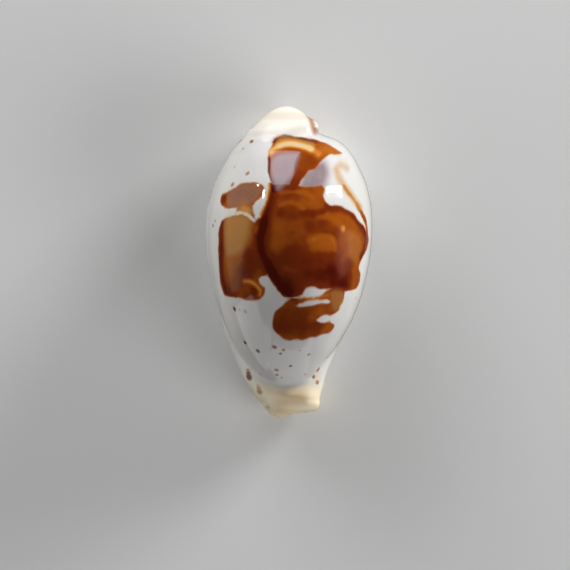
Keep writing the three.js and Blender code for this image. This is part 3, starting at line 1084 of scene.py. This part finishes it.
def shell_colour(tree, place, callus, coarse, fine, spots):
    """All the shell's colours, from the ground up to the spots, with painted reflection in the lilac and
    golden films.
    """
    colour = ground_colour(tree, place, callus, coarse)
    colour = colour_mix(tree, mottled(tree, "tan film", fine, TAN_MOTTLE), colour, TAN)
    colour = colour_mix(tree, mottled(tree, "lilac patch", fine, LILAC_MOTTLE), colour, PATCH_LILAC)
    colour = blotch_colour(tree, colour, coarse, fine)
    # Painted reflection: a pale lilac veil over the brown
    colour = colour_mix(tree, mottled(tree, "lilac film and painted reflection", fine, LILAC_MOTTLE), colour, LILAC_FILM_AND_REFLECTION)
    # Painted reflection in part: a pale golden veil over the left block, besides golden tones
    colour = colour_mix(tree, mottled(tree, "golden film and painted reflection", coarse, GOLDEN_MOTTLE), colour, GOLDEN_FILM_AND_REFLECTION)
    speckle = spot_cover(tree, place, fine, spots)
    colour = colour_mix(tree, speckle.ramp(*SPOT_HALO) * HALO_STRENGTH, colour, SPOT_TAN)
    return colour_mix(tree, speckle.ramp(*SPOT_CORE), colour, SPOT_BROWN)


def paint_enamel(material, spots):
    """Makes a material the shell's polished enamel, with its markings."""
    material.use_nodes = True
    tree = material.node_tree
    shader = tree.nodes["Principled BSDF"]
    place = tree.nodes.new("ShaderNodeTexCoord").outputs["Object"]
    coarse = noise(tree, place, *COARSE_NOISE)
    fine = noise(tree, place, *FINE_NOISE)
    callus = (attribute(tree, "callus") + coarse * GROUND_WANDER).ramp(*CALLUS_EDGE)
    feed(shader.inputs["Base Color"], shell_colour(tree, place, callus, coarse, fine, spots))
    feed(shader.inputs["Roughness"], callus * CALLUS_ROUGHNESS + fine * FINE_ROUGHNESS + BACK_ROUGHNESS)
    ripple = tree.nodes.new("ShaderNodeBump")
    ripple.inputs["Distance"].default_value = RIPPLE_HEIGHT * UNIT
    feed(ripple.inputs["Height"], noise(tree, place, *RIPPLE_NOISE))
    tree.links.new(ripple.outputs["Normal"], shader.inputs["Normal"])


def mark(piece):
    """Puts the markings on the grown shell as attributes of its points."""
    marks = Markings(piece, EYE)
    layers = [
        ("blotch", marks.blotch(), FAR_OUTSIDE),
        ("shade", marks.shade(), 0.0),
        # The lilac and golden films below carry painted reflection as well as the brown's own tones
        ("lilac film and painted reflection", marks.film(LILAC_FILMS_AND_REFLECTIONS), 0.0),
        ("lilac patch", marks.film(LILAC_PATCH), 0.0),
        ("golden film and painted reflection", marks.film(GOLDEN_FILMS_AND_REFLECTIONS), 0.0),
        ("tan film", marks.line_film(TAN_LINES), 0.0),
    ]
    for label, values, elsewhere in layers:
        marks.store(label, values, elsewhere)


def make_shell():
    """The shell, grown, marked and painted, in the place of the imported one."""
    enamel = bpy.data.materials.new("enamel")
    shell = grow("cowrie", shell_tree(enamel), {"Voxel": VOXEL, **SKIN_SIZES})
    bpy.context.view_layer.update()
    mark(shell)
    spots = []
    for x, y, radius, strength in SPOTS:
        place, _ = seen_on(shell, EYE, (x, y))
        spots.append((place, radius * PIXEL * UNIT, strength))
    paint_enamel(enamel, spots)
    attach(shell, "root")
    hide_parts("shell")


def make_floor():
    bpy.ops.mesh.primitive_plane_add(size=FLOOR_SIDE, location=(0, 0, -FLOOR_DROP * UNIT))
    floor = bpy.context.object
    floor.name = "floor"
    grey = bpy.data.materials.new("floor")
    grey.use_nodes = True
    shader = grey.node_tree.nodes["Principled BSDF"]
    shader.inputs["Base Color"].default_value = (FLOOR_GREY, FLOOR_GREY, FLOOR_GREY, 1)
    shader.inputs["Specular IOR Level"].default_value = 0.0
    floor.data.materials.append(grey)
    floor.visible_glossy = False


def make_camera():
    data = bpy.data.cameras.new("camera")
    data.lens = LENS
    data.sensor_width = SENSOR
    data.clip_start = NEAR_CLIP
    camera = bpy.data.objects.new("camera", data)
    bpy.context.scene.collection.objects.link(camera)
    camera.location = EYE
    bpy.context.scene.camera = camera


def panel(name, place, aim, size, brightness, roll=0.0):
    """A flat lamp of even brightness that the camera doesn't see."""
    data = bpy.data.lights.new(name, "AREA")
    data.shape = "RECTANGLE"
    data.size, data.size_y = (length * UNIT for length in size)
    data.energy = brightness * math.pi * data.size * data.size_y
    lamp = bpy.data.objects.new(name, data)
    bpy.context.scene.collection.objects.link(lamp)
    lamp.location = Vector(place) * UNIT
    turn = (Vector(aim) - Vector(place)).to_track_quat("-Z", "Y")
    lamp.rotation_euler = (turn @ Quaternion((0, 0, 1), math.radians(roll))).to_euler()
    lamp.visible_camera = False
    return lamp


def make_lights():
    for name, place, size, brightness in LAMPS:
        lamp = panel(name, place, SHELL_CENTRE, size, brightness)
        lamp.visible_glossy = False
    for name, place, aim, size, brightness, roll in CARDS:
        card = panel(name, place, aim, size, brightness, roll)
        card.visible_diffuse = False


def make_world():
    world = bpy.data.worlds.new("world")
    world.use_nodes = True
    background = world.node_tree.nodes["Background"]
    background.inputs["Color"].default_value = (WORLD_GREY, WORLD_GREY, WORLD_GREY, 1)
    bpy.context.scene.world = world
    bpy.context.scene.view_settings.view_transform = "Standard"


make_shell()
make_floor()
make_camera()
make_lights()
make_world()
